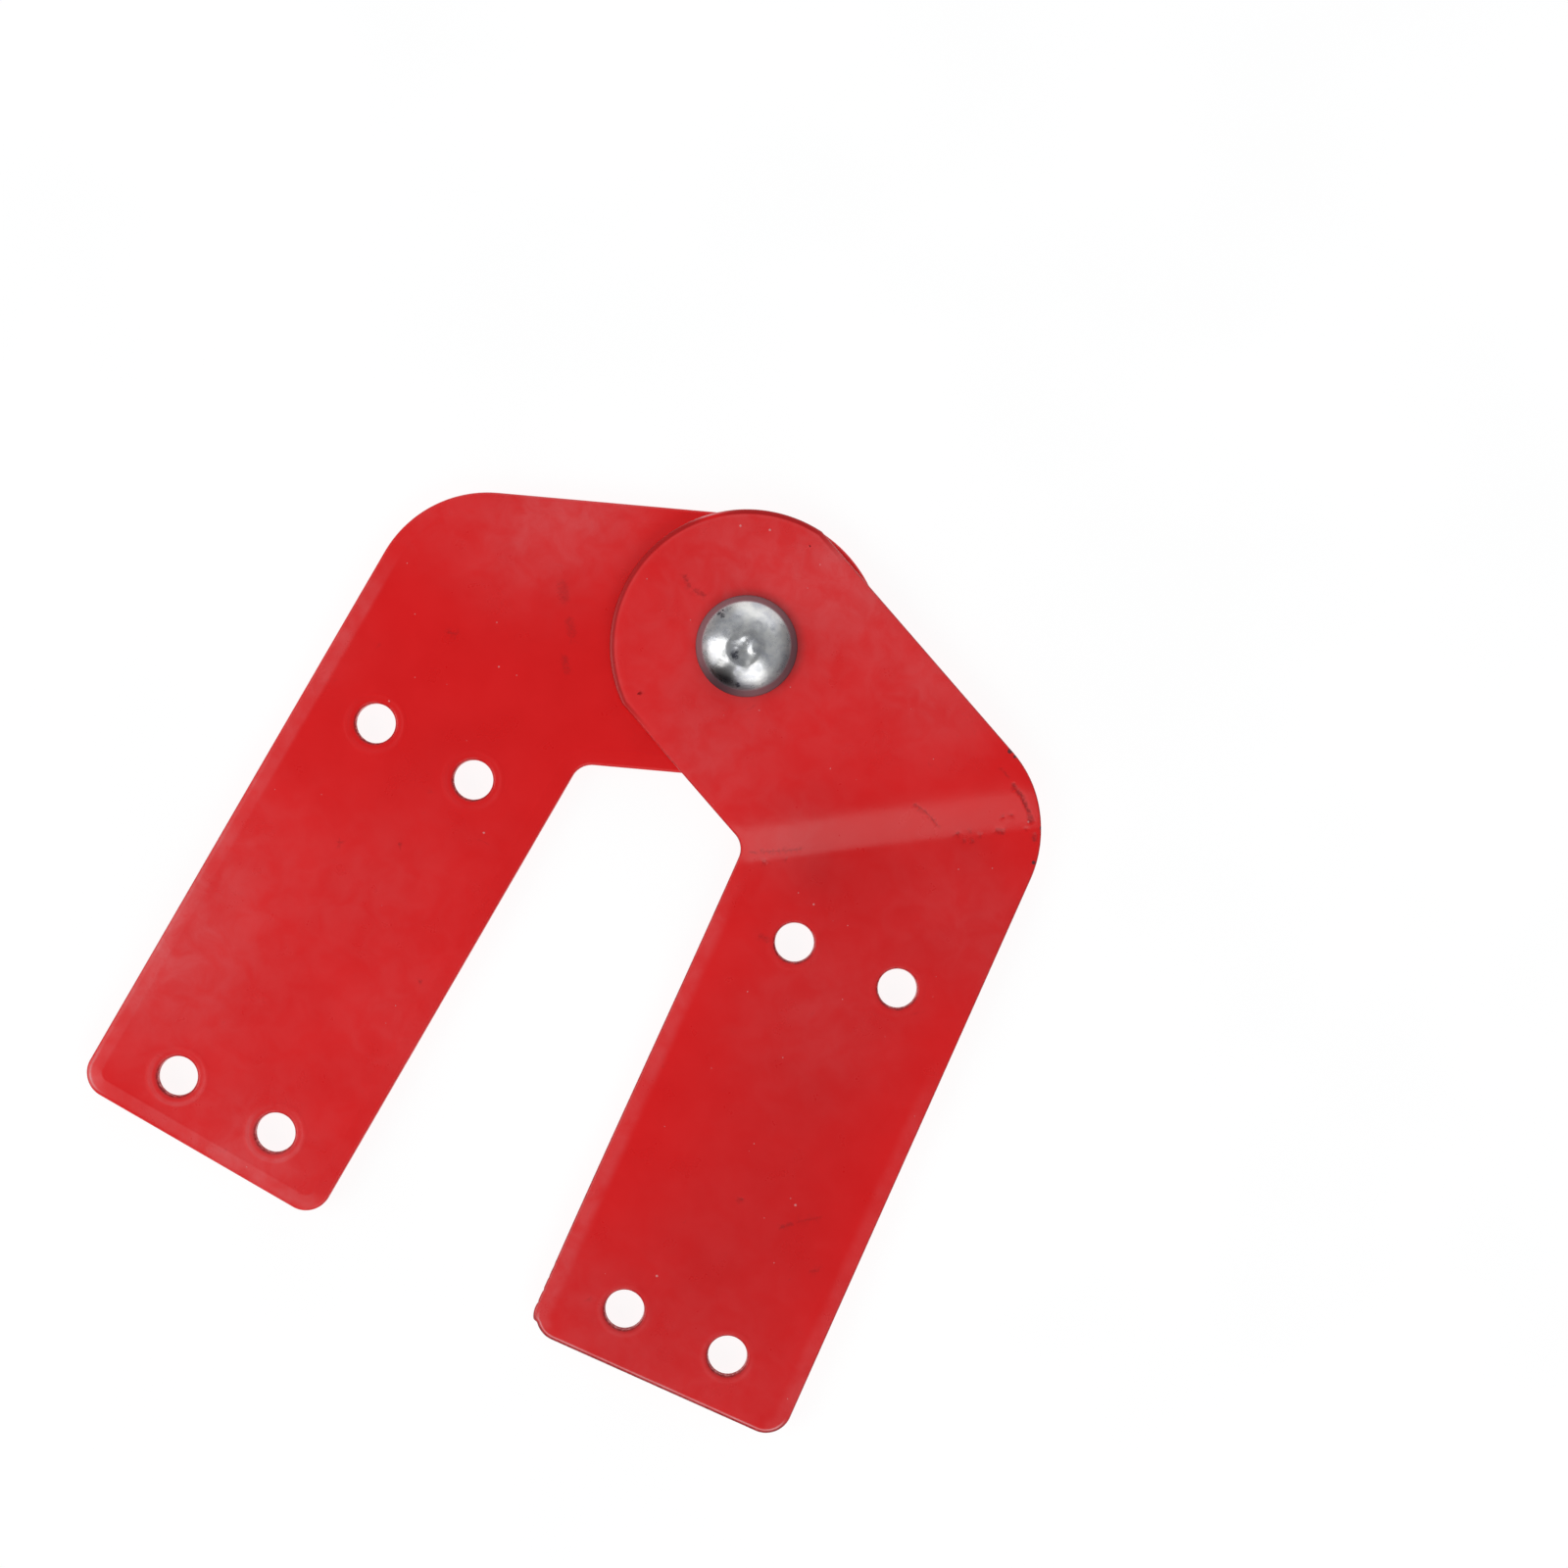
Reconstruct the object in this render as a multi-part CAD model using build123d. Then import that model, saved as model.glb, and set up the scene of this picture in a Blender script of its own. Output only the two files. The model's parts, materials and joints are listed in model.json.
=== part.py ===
from build123d import *
import os
from math import asin, atan, cos, degrees, radians, sin, sqrt, tan

# Hinged roof anchor: two chevron arms of sheet steel on one rivet, in millimetres.
#
# Row frame: the rivet stands along +Z, the legs point down -Y on both sides of the YZ plane, and the
# rivet's tail stands on z = 0. The origin is under the middle of the assembly's box.
#
# Each arm is first drawn in its own frame: rivet at the origin, tab along +X, leg turned towards -Y.

# Sheet and clearances
SHEET = 2.66                # 12 gauge steel
TAB_GAP = 0.10              # running gap between the two tabs, and under the rivet's head
RUNNING_CLEARANCE = 0.05    # radial, between the shank and the front arm's hole

# Chevron outline, the same on both arms
LEG_WIDTH = 50.8
TAB_WIDTH = 48.5
TAB_END_RADIUS = 25.2       # a little more than half the tab's width
ELBOW_TURN = 65.0           # degrees from the tab's line to the leg's line
OUTER_ELBOW_RADIUS = 22.0
INNER_ELBOW_RADIUS = 4.0
LEG_CORNER_RADIUS = 4.8

# Nail and lag holes: a pair across the leg near its end, and a pair near the elbow
NAIL_HOLE_DIAMETER = 7.4
NAIL_HOLE_SPACING = 20.8
PAIR_PITCH = 74.6

# Where each arm differs. The throat runs from the rivet to the inner elbow corner, along the tab, and is
# shorter on the front arm because the joggle draws its elbow in. The leg's length runs from that corner to
# the leg's end, and the end pair of holes is measured back from there. Each pair sits off the leg's middle
# by its shift, outwards positive.
BACK_THROAT = 28.8
BACK_LEG_LENGTH = 97.3
BACK_END_PAIR_DISTANCE = 10.3
BACK_END_PAIR_SHIFT = -0.55
BACK_ELBOW_PAIR_SHIFT = 0.5
FRONT_THROAT = 27.3
FRONT_LEG_LENGTH = 97.9
FRONT_END_PAIR_DISTANCE = 10.6
FRONT_END_PAIR_SHIFT = -0.2
FRONT_ELBOW_PAIR_SHIFT = 0.8

# Joggle in the front arm, a ramp along the elbow's bisector
BEND_LINE_ANGLE = 57.0      # degrees from the tab's line
BEND_LINE_DISTANCE = 36.4   # rivet to the ramp's middle
RAMP_RUN = 7.2
INSIDE_BEND_RADIUS = 6.0

# Rivet
SHANK_DIAMETER = 9.5
HEAD_DIAMETER = 18.9
HEAD_HEIGHT = 5.6
HEAD_SHOULDER_RADIUS = 1.0  # where the crown turns down to the rim
TAIL_DIAMETER = 16.0
TAIL_HEIGHT = 2.6
TAIL_EDGE_RADIUS = 1.2

# Assembly pose: how far each tab hangs below level
TAB_DROOP = 22.0

BACK_ARM_Z = TAIL_HEIGHT
FRONT_TAB_Z = BACK_ARM_Z + SHEET + TAB_GAP
HEAD_Z = FRONT_TAB_Z + SHEET + TAB_GAP
REACH = 200.0               # longer than any arm, for cutting tools


def leg_directions():
    """Unit vectors of the leg: along it to its end, and across it outwards."""
    along = Vector(cos(radians(ELBOW_TURN)), -sin(radians(ELBOW_TURN)))
    across = Vector(sin(radians(ELBOW_TURN)), cos(radians(ELBOW_TURN)))
    return along, across


def chevron(throat, leg_length):
    """Flat outline of an arm, with no holes."""
    along, across = leg_directions()
    half = TAB_WIDTH / 2
    kink = -sqrt(TAB_END_RADIUS**2 - half**2)
    inner_elbow = Vector(throat, -half)
    inner_end = inner_elbow + along * leg_length
    outer_end = inner_end + across * LEG_WIDTH
    back_up = (half - outer_end.Y) / along.Y
    outer_elbow = outer_end + along * back_up
    sides = Polyline((kink, half), outer_elbow, outer_end, inner_end, inner_elbow, (kink, -half))
    tab_end = ThreePointArc((kink, -half), (-TAB_END_RADIUS, 0), (kink, half))
    face = make_face([sides, tab_end])
    corners = (
        (outer_elbow, OUTER_ELBOW_RADIUS),
        (inner_elbow, INNER_ELBOW_RADIUS),
        (outer_end, LEG_CORNER_RADIUS),
        (inner_end, LEG_CORNER_RADIUS),
    )
    for corner, radius in corners:
        face = fillet(face.vertices().sort_by_distance(corner)[:1], radius)
    return face


def nail_holes(throat, end_pair, end_pair_shift, elbow_pair_shift):
    """Centres of the four nail holes, the end pair being so far from the inner elbow corner."""
    along, across = leg_directions()
    middle = Vector(throat, -TAB_WIDTH / 2) + across * (LEG_WIDTH / 2)
    pairs = ((end_pair, end_pair_shift), (end_pair - PAIR_PITCH, elbow_pair_shift))
    centres = []
    for distance, shift in pairs:
        for side in (-0.5, 0.5):
            centres.append(middle + along * distance + across * (shift + side * NAIL_HOLE_SPACING))
    return centres


def drilled_prism(outline, rivet_hole_radius, hole_centres):
    """The arm's outline and holes, carried straight up through every height of the assembly."""
    outline -= Circle(rivet_hole_radius)
    for centre in hole_centres:
        outline -= Pos(centre) * Circle(NAIL_HOLE_DIAMETER / 2)
    return extrude(outline, HEAD_Z)


def flat_sheet():
    """A level layer of sheet at the back arm's height."""
    return Pos(0, 0, BACK_ARM_Z + SHEET / 2) * Box(2 * REACH, 2 * REACH, SHEET)


def joggled_sheet():
    """A layer of sheet at the front tab's height that steps down to the back arm's height."""
    depth = FRONT_TAB_Z - BACK_ARM_Z
    lean = atan(depth / RAMP_RUN)
    outside_radius = INSIDE_BEND_RADIUS + SHEET
    top_start = BEND_LINE_DISTANCE - RAMP_RUN / 2
    under_start = top_start - SHEET * tan(lean / 2)

    def side_line(start, height, radii):
        points = (
            (-REACH, height),
            (start, height),
            (start + RAMP_RUN, height - depth),
            (REACH, height - depth),
        )
        return FilletPolyline(*points, radius=radii)

    top = side_line(top_start, FRONT_TAB_Z + SHEET, [outside_radius, INSIDE_BEND_RADIUS])
    under = side_line(under_start, FRONT_TAB_Z, [INSIDE_BEND_RADIUS, outside_radius])
    far_end = Line(top @ 1, under @ 1)
    near_end = Line(top @ 0, under @ 0)
    section = make_face([*top.edges(), far_end, *under.edges(), near_end])
    across_bend = radians(BEND_LINE_ANGLE - 90)
    side_plane = Plane(
        origin=(0, 0, 0),
        x_dir=(cos(across_bend), sin(across_bend), 0),
        z_dir=(-cos(radians(BEND_LINE_ANGLE)), -sin(radians(BEND_LINE_ANGLE)), 0),
    )
    return extrude(side_plane * section, REACH, both=True)


def front_arm():
    """Upper tab on +X, joggled so that its leg lies level with the back arm."""
    end_pair = FRONT_LEG_LENGTH - FRONT_END_PAIR_DISTANCE
    holes = nail_holes(FRONT_THROAT, end_pair, FRONT_END_PAIR_SHIFT, FRONT_ELBOW_PAIR_SHIFT)
    hole_radius = SHANK_DIAMETER / 2 + RUNNING_CLEARANCE
    arm = drilled_prism(chevron(FRONT_THROAT, FRONT_LEG_LENGTH), hole_radius, holes) & joggled_sheet()
    return Rot(0, 0, -TAB_DROOP) * arm


def back_arm():
    """Lower tab on -X, the same stamping turned over and left flat."""
    end_pair = BACK_LEG_LENGTH - BACK_END_PAIR_DISTANCE
    holes = nail_holes(BACK_THROAT, end_pair, BACK_END_PAIR_SHIFT, BACK_ELBOW_PAIR_SHIFT)
    outline = chevron(BACK_THROAT, BACK_LEG_LENGTH)
    arm = drilled_prism(outline, SHANK_DIAMETER / 2, holes) & flat_sheet()
    return Rot(0, 0, TAB_DROOP) * mirror(arm, about=Plane.YZ)


def rivet():
    """Domed head, shank and formed tail in one piece."""
    head_radius = HEAD_DIAMETER / 2
    tail_radius = TAIL_DIAMETER / 2
    shank_radius = SHANK_DIAMETER / 2
    tail_edge = tail_radius - TAIL_EDGE_RADIUS

    # The crown is a ball shape that runs tangent into the shoulder
    shoulder = head_radius - HEAD_SHOULDER_RADIUS
    rise = HEAD_HEIGHT - HEAD_SHOULDER_RADIUS
    crown_radius = HEAD_HEIGHT + (shoulder**2 - rise**2) / (2 * rise)
    crown_half_angle = degrees(asin(shoulder / (crown_radius - HEAD_SHOULDER_RADIUS)))
    crown_centre = (0, HEAD_Z + HEAD_HEIGHT - crown_radius)

    outline = [
        Polyline((0, HEAD_Z + HEAD_HEIGHT), (0, 0), (tail_edge, 0)),
        CenterArc((tail_edge, TAIL_EDGE_RADIUS), TAIL_EDGE_RADIUS, -90, 90),
        Polyline(
            (tail_radius, TAIL_EDGE_RADIUS),
            (tail_radius, BACK_ARM_Z),
            (shank_radius, BACK_ARM_Z),
            (shank_radius, HEAD_Z),
            (head_radius, HEAD_Z),
        ),
        CenterArc((shoulder, HEAD_Z), HEAD_SHOULDER_RADIUS, 0, 90 - crown_half_angle),
        CenterArc(crown_centre, crown_radius, 90 - crown_half_angle, crown_half_angle),
    ]
    section = make_face([edge for line in outline for edge in line.edges()])
    return revolve(Plane.XZ * section, Axis.Z)


parts = {"front_arm": front_arm(), "back_arm": back_arm(), "rivet": rivet()}

# Move the assembly so that the origin lies under the middle of its box
box = Compound([solid.solid() for solid in parts.values()]).bounding_box()
centring = Pos(-box.center().X, -box.center().Y, -box.min.Z)

os.makedirs("parts", exist_ok=True)
for name, solid in parts.items():
    export_step(centring * solid, f"parts/{name}.step")
print("rivet axis at", round(-box.center().X, 4), round(-box.center().Y, 4))
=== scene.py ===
import bpy
import bmesh
import json
import numpy as np
from math import atan, atan2, cos, pi, radians, sin, sqrt, tan
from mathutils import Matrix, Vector, geometry


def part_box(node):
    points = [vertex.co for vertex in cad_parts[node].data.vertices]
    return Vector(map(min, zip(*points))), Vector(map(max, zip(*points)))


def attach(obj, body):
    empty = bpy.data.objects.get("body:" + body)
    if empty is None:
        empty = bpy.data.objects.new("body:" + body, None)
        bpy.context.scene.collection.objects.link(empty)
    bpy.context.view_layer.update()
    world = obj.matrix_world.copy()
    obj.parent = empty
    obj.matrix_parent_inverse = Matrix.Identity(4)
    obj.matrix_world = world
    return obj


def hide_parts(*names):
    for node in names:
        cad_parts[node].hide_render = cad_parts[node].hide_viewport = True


# Hinged roof anchor: the looks of two painted sheet-steel arms on one peened rivet.
# Shapes are worked out in millimetres and turned into metres as each mesh is made. An arm is drawn in its
# own frame: rivet at the origin, tab along +X, leg turned towards -Y. Heights, the rivet's place and the
# nail holes come from the frame.

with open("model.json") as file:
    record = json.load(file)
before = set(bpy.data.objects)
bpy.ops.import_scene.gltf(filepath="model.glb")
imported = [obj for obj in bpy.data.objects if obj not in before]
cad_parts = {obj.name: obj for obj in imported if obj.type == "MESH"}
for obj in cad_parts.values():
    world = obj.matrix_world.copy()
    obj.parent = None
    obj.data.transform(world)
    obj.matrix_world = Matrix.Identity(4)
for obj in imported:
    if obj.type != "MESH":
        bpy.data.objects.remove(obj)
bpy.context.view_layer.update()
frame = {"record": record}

MM = 0.001
rivet_low, rivet_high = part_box("rivet")
back_low, back_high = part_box("back_arm")
_, front_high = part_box("front_arm")
PIVOT = Vector(((rivet_low.x + rivet_high.x) / 2, (rivet_low.y + rivet_high.y) / 2)) / MM
BACK_UNDER = back_low.z / MM
SHEET = (back_high.z - back_low.z) / MM
FRONT_TOP = front_high.z / MM
JOGGLE_DEPTH = FRONT_TOP - BACK_UNDER - SHEET

# Chevron outline
LEG_WIDTH = 50.8
LEG_LENGTH = {"back": 97.3, "front": 97.9}
TAB_WIDTH = 48.5
TAB_END_RADIUS = 25.2
ELBOW_TURN = radians(65.0)
OUTER_ELBOW_RADIUS = 22.0
INNER_ELBOW_RADIUS = 4.0
LEG_CORNER_RADIUS = 4.8
THROAT = {"back": 28.8, "front": 27.3}
TAB_DROOP = radians(22.0)

# Joggle of the front arm
BEND_LINE_ANGLE = radians(57.0)
BEND_LINE_DISTANCE = 35.95
RAMP_RUN = 7.6
TOP_BEND_RADII = (14.0, 8.0)        # the enamel rounds the bends off a little
UNDER_BEND_RADII = (6.0, 8.66)
BEND_ZONE = (29.6, 43.2)
CREASE_PLACE = 39.8                 # the press tool's line across the foot of the ramp
CREASE_WIDTH = 0.45
CREASE_DEPTH = 0.03

# Rivet
SHANK_RADIUS = 4.75
RUNNING_CLEARANCE = 0.05
HEAD_HEIGHT = 5.6
CROWN_RADIUS = 11.6                 # the head's crown is part of a ball
CROWN_REACH = 8.05                  # how far out the crown runs, before the brow and the steep skirt
BROW_WIDTH = 0.4
SKIRT_LEAN = radians(63.0)
TAIL_RADIUS = 8.0
TAIL_EDGE_RADIUS = 1.2

VIEW_TURN = radians(27.09)          # the camera's roll about the vertical

# Mesh spacing
OUTLINE_STEP = 0.5
TOP_STEP = 1.1
UNDER_STEP = 2.4
BEND_STEP = 0.3
MARK_STEP = 0.22
HOLE_STEP = 0.3
ROW_SPACING = 0.87                  # of a step, so that the triangles have nearly equal sides
LOOP_CLEARANCE = 0.3                # face points keep this far from the outline and the holes
MARK_CLEARING = 1.9                 # half widths round a mark that get the closer points
MARK_REACH = 1.6                    # half widths from a mark's path to its rim
FILL_INSIDE = 1                     # the kind of filling that stays inside the loops
FILL_TOLERANCE = 1e-5
MERGE_DISTANCE = 3e-6               # metres
RIVET_SIDES = 160

ALONG_LEG = np.array([cos(ELBOW_TURN), -sin(ELBOW_TURN)])
ACROSS_LEG = np.array([sin(ELBOW_TURN), cos(ELBOW_TURN)])
ALONG_BEND = np.array([cos(BEND_LINE_ANGLE), sin(BEND_LINE_ANGLE)])
ACROSS_BEND = np.array([sin(BEND_LINE_ANGLE), -cos(BEND_LINE_ANGLE)])


def to_row(points, side):
    """Arm frame to row frame, in millimetres."""
    x = points[:, 0] if side == "front" else -points[:, 0]
    turn = -TAB_DROOP if side == "front" else TAB_DROOP
    return np.stack([
        PIVOT.x + x * cos(turn) - points[:, 1] * sin(turn),
        PIVOT.y + x * sin(turn) + points[:, 1] * cos(turn),
    ], 1)


def to_arm(point, side):
    """Row frame to arm frame, in millimetres."""
    x, y = point[0] - PIVOT.x, point[1] - PIVOT.y
    turn = TAB_DROOP if side == "front" else -TAB_DROOP
    turned = np.array([x * cos(turn) - y * sin(turn), x * sin(turn) + y * cos(turn)])
    return turned if side == "front" else turned * np.array([-1.0, 1.0])


# Outlines -------------------------------------------------------------------------------------------------

def turned_about(centre, arm, turns):
    """The point at centre + arm, swung about the centre by each turn."""
    turns = np.asarray(turns)
    x = arm[0] * np.cos(turns) - arm[1] * np.sin(turns)
    y = arm[0] * np.sin(turns) + arm[1] * np.cos(turns)
    return np.stack([centre[0] + x, centre[1] + y], 1)


def straight(start, end):
    """Evenly spaced points from start up to, but not at, the end."""
    count = max(1, round(np.linalg.norm(end - start) / OUTLINE_STEP))
    return start + (end - start) * (np.arange(count) / count)[:, None]


def rounded_corner(before, corner, after, radius):
    """Points of the arc that rounds a corner, both tangent points included."""
    into = (before - corner) / np.linalg.norm(before - corner)
    out = (after - corner) / np.linalg.norm(after - corner)
    half = np.arccos(np.clip(into @ out, -1, 1)) / 2
    bisector = (into + out) / np.linalg.norm(into + out)
    centre = corner + bisector * radius / sin(half)
    first = corner + into * radius / tan(half) - centre
    last = corner + out * radius / tan(half) - centre
    sweep = atan2(first[0] * last[1] - first[1] * last[0], first @ last)
    count = max(6, round(2 * abs(sweep) * radius / OUTLINE_STEP))
    return turned_about(centre, first, sweep * np.arange(count + 1) / count)


def inner_elbow(side):
    """Where the inner sides of the tab and the leg would meet in a sharp corner."""
    return np.array([THROAT[side], -TAB_WIDTH / 2])


def chevron(side):
    """Closed outline of an arm, clockwise seen from above."""
    half = TAB_WIDTH / 2
    kink = -sqrt(TAB_END_RADIUS**2 - half**2)
    start, finish = np.array([kink, half]), np.array([kink, -half])
    inner_end = inner_elbow(side) + ALONG_LEG * LEG_LENGTH[side]
    outer_end = inner_end + ACROSS_LEG * LEG_WIDTH
    outer_elbow = outer_end + ALONG_LEG * (half - outer_end[1]) / ALONG_LEG[1]
    corners = [start, outer_elbow, outer_end, inner_end, inner_elbow(side), finish]
    radii = [OUTER_ELBOW_RADIUS, LEG_CORNER_RADIUS, LEG_CORNER_RADIUS, INNER_ELBOW_RADIUS]
    pieces, here = [], start
    for k, radius in enumerate(radii, 1):
        arc = rounded_corner(corners[k - 1], corners[k], corners[k + 1], radius)
        pieces += [straight(here, arc[0]), arc[:-1]]
        here = arc[-1]
    pieces.append(straight(here, finish))
    sweep = -((atan2(finish[1], finish[0]) - atan2(start[1], start[0])) % (2 * pi))
    count = round(abs(sweep) * TAB_END_RADIUS / OUTLINE_STEP)
    pieces.append(turned_about((0, 0), finish, sweep * np.arange(count) / count))
    return np.concatenate(pieces)


def hole_outline(centre, radius):
    """Closed outline of a hole, anticlockwise, so that the sheet is on the same hand as in chevron()."""
    count = round(2 * pi * radius / HOLE_STEP)
    return turned_about(centre, (radius, 0), np.arange(count) * 2 * pi / count)


def outward(points):
    """Unit vectors out of the sheet at each point of a closed outline."""
    run = np.roll(points, -1, 0) - np.roll(points, 1, 0)
    run /= np.linalg.norm(run, axis=1)[:, None]
    return np.stack([-run[:, 1], run[:, 0]], 1)


def inside(points, loop):
    """Which points lie inside a closed loop."""
    result = np.zeros(len(points), bool)
    x, y = points[:, 0], points[:, 1]
    for (ax, ay), (bx, by) in zip(loop, np.roll(loop, -1, 0)):
        if ay != by:
            result ^= ((ay > y) != (by > y)) & (x < (bx - ax) * (y - ay) / (by - ay) + ax)
    return result


def distance_to(points, targets):
    """Distance from each point to the nearest target."""
    best = np.full(len(points), np.inf)
    for start in range(0, len(targets), 64):
        gaps = points[:, None, :] - targets[None, start:start + 64, :]
        best = np.minimum(best, np.sqrt((gaps**2).sum(2)).min(1))
    return best


def path_distance(points, path):
    """Distance from each point to a path of straight runs, or to its one point."""
    path = np.array(path, float)
    if len(path) == 1:
        return np.linalg.norm(points - path[0], axis=1)
    best = np.full(len(points), np.inf)
    for a, b in zip(path[:-1], path[1:]):
        share = np.clip(((points - a) @ (b - a)) / ((b - a) @ (b - a)), 0, 1)
        best = np.minimum(best, np.linalg.norm(points - a - share[:, None] * (b - a), axis=1))
    return best


# Heights of the sheet -------------------------------------------------------------------------------------

def smooth(value, low, high):
    """0 at low, 1 at high, and smooth between them."""
    share = np.clip((value - low) / (high - low), 0, 1)
    return share * share * (3 - 2 * share)


def fade(value, whole, gone):
    """1 up to one value, 0 from the other on, and smooth between them."""
    return 1 - smooth(value, whole, gone)


def line(value, place, width):
    """1 at one value, and 0 away from it."""
    return np.exp(-((value - place) / width)**2)


def spot(points, x, y, spread):
    """1 in the middle of a spot, and 0 away from it."""
    return np.exp(-((points[:, 0] - x)**2 + (points[:, 1] - y)**2) / spread**2)


def bowl(points, x, y, radius):
    """1 in the middle of a dished place, and 0 from its radius on."""
    reach = np.clip(np.hypot(points[:, 0] - x, points[:, 1] - y) / radius, 0, 1)
    return (1 - reach**2)**2


def step_down(s, start, high, first_radius, second_radius):
    """Height across the joggle: level, round one bend, down the ramp, round the other bend, level."""
    lean = atan(JOGGLE_DEPTH / RAMP_RUN)
    low = high - JOGGLE_DEPTH
    s1 = start - first_radius * tan(lean / 2)
    s2 = s1 + first_radius * sin(lean)
    s4 = start + RAMP_RUN + second_radius * tan(lean / 2)
    s3 = s4 - second_radius * sin(lean)
    first = high - first_radius + np.sqrt(np.maximum(first_radius**2 - (s - s1)**2, 0))
    ramp = high - (s - start) * tan(lean)
    second = low + second_radius - np.sqrt(np.maximum(second_radius**2 - (s4 - s)**2, 0))
    return np.select([s < s1, s < s2, s < s3, s < s4], [high + 0 * s, first, ramp, second], low)


# Gentle hills and hollows of the rolled sheet: x, y, spread, height
SWELLS = {
    "back": [(56, 6, 19, -0.30), (62, -42, 17, 0.20), (88, -84, 17, -0.12)],
    "front": [(62, -38, 20, -0.10), (80, -84, 20, 0.10)],
}


def blobs(points, spots):
    """Sum of smooth spots: x, y, spread, amount."""
    total = np.zeros(len(points))
    for x, y, spread, amount in spots:
        total += amount * spot(points, x, y, spread)
    return total


def swell(points, side):
    """How far the rolled sheet has swelled at each point."""
    return blobs(points, SWELLS[side])


def bend_place(points):
    """Distance across the bend line. It runs slower towards the outer elbow, where the ramp is gentler."""
    s = points @ ACROSS_BEND
    ease = 1.02 - 0.18 * smooth(points @ ALONG_BEND, 0, 45)
    return BEND_LINE_DISTANCE + (s - BEND_LINE_DISTANCE) * ease


def top_height(points, side):
    """Height of the top face at each point."""
    if side == "back":
        return BACK_UNDER + SHEET + swell(points, side)
    start = BEND_LINE_DISTANCE - RAMP_RUN / 2
    s = bend_place(points)
    level = step_down(s, start, FRONT_TOP, *TOP_BEND_RADII)
    crease = CREASE_DEPTH * line(s, CREASE_PLACE, CREASE_WIDTH)
    return level - crease + swell(points, side)


def under_height(points, side):
    """Height of the under face at each point."""
    if side == "back":
        return BACK_UNDER + swell(points, side)
    start = BEND_LINE_DISTANCE - RAMP_RUN / 2 - SHEET * tan(atan(JOGGLE_DEPTH / RAMP_RUN) / 2)
    high = FRONT_TOP - SHEET
    level = step_down(bend_place(points), start, high, *UNDER_BEND_RADII)
    return level + swell(points, side)


# Nicks in the sheared outline: x, y, radius, depth
NICKS = {
    "front": [(66.6, -108.2, 0.6, 0.16), (65.5, -106.0, 0.5, 0.16), (64.3, -103.8, 0.4, 0.12),
              (63.4, -101.6, 0.4, 0.10)],
    "back": [],
}
# The front leg's inner side spreads towards its end, and ends in a burr at the corner
SIDE_SPREAD = 0.40
BURR_HEIGHT = 0.14


def past_end(points, side):
    """How far each point lies past the leg's end: less than 0 on the leg."""
    return (points - inner_elbow(side)) @ ALONG_LEG - LEG_LENGTH[side]


def outline_bite(outline, side):
    """How far in each point of the outline lies: the nicks, less the spread and the burr."""
    bite = np.zeros(len(outline))
    for x, y, radius, depth in NICKS[side]:
        bite = np.maximum(bite, depth * bowl(outline, x, y, radius))
    if side == "front":
        faces_inwards = smooth(-(outward(outline) @ ACROSS_LEG), 0.78, 0.88)
        end = past_end(outline, side)
        spread = SIDE_SPREAD * smooth(end, -90, -20) + BURR_HEIGHT * smooth(end, -5.5, -2.6)
        bite -= spread * faces_inwards
    return bite


# Marks of use: path, half width, depth, and how dark the dirt in it is
MARKS = {
    "front": [
        ([(51.4, 20.4), (54.2, 20.1), (57.0, 19.3), (58.3, 18.7)], 0.30, 0.12, 0.8),
        ([(58.1, 18.8), (58.5, 18.6)], 0.45, 0.14, 0.8),
        ([(47.6, 20.6), (49.6, 20.6)], 0.20, 0.03, 0.4),
        ([(42.2, 4.4), (44.9, 5.0), (47.8, 5.0)], 0.15, 0.04, 0.7),
        ([(51.5, 6.8)], 0.32, 0.12, 0.7),
        ([(53.4, 6.9)], 0.26, 0.10, 0.6),
        ([(54.4, 8.0)], 0.26, 0.10, 0.7),
        ([(54.5, 9.8)], 0.22, 0.08, 0.5),
        ([(52.6, 9.0)], 0.16, 0.05, 0.4),
        ([(56.0, 12.8), (56.7, 13.3)], 0.42, 0.18, 0.6),
        ([(55.4, 16.5)], 0.24, 0.08, 0.5),
        ([(54.6, 15.1)], 0.26, 0.07, 0.5),
        ([(59.2, 17.0)], 0.34, 0.14, 0.2),
        ([(61.0, 17.4), (61.6, 16.8)], 0.36, 0.16, 0.7),
        ([(32.3, -23.5)], 0.42, 0.20, 0.4),
        ([(34.4, -20.2)], 0.22, 0.06, 0.4),
        ([(28.9, -24.6), (31.8, -20.8), (34.8, -16.9)], 0.12, 0.04, 0.5),
        ([(43.4, -32.6), (42.0, -32.9)], 0.40, 0.05, 0.4),
        ([(85.0, -65.2), (85.8, -63.4)], 0.30, 0.02, 0.5),
        ([(86.3, -62.2), (88.2, -59.0)], 0.20, 0.02, 0.35),
        ([(94.8, -66.4), (95.4, -65.4)], 0.30, 0.02, 0.35),
        ([(76.3, -67.4)], 0.24, 0.09, 0.9),
        ([(-17.0, -0.2), (-15.3, -0.8)], 0.34, 0.02, 0.50),
        ([(-13.9, -0.4), (-12.2, 0.2)], 0.34, 0.02, 0.50),
    ],
    "back": [
        ([(34.9, 8.4), (34.2, 5.8)], 0.75, 0.0, 0.30),
        ([(33.0, 1.8), (32.3, -0.4)], 0.65, 0.0, 0.34),
        ([(33.3, -5.2), (32.6, -7.4)], 0.55, 0.0, 0.36),
        ([(54.4, -66.8)], 0.30, 0.04, 0.6),
        ([(53.5, -2.4), (55.0, -2.2)], 0.22, 0.01, 0.4),
        ([(71.5, -42.6)], 0.28, 0.04, 0.5),
        ([(60.4, -42.0)], 0.30, 0.03, 0.6),
    ],
}

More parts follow.
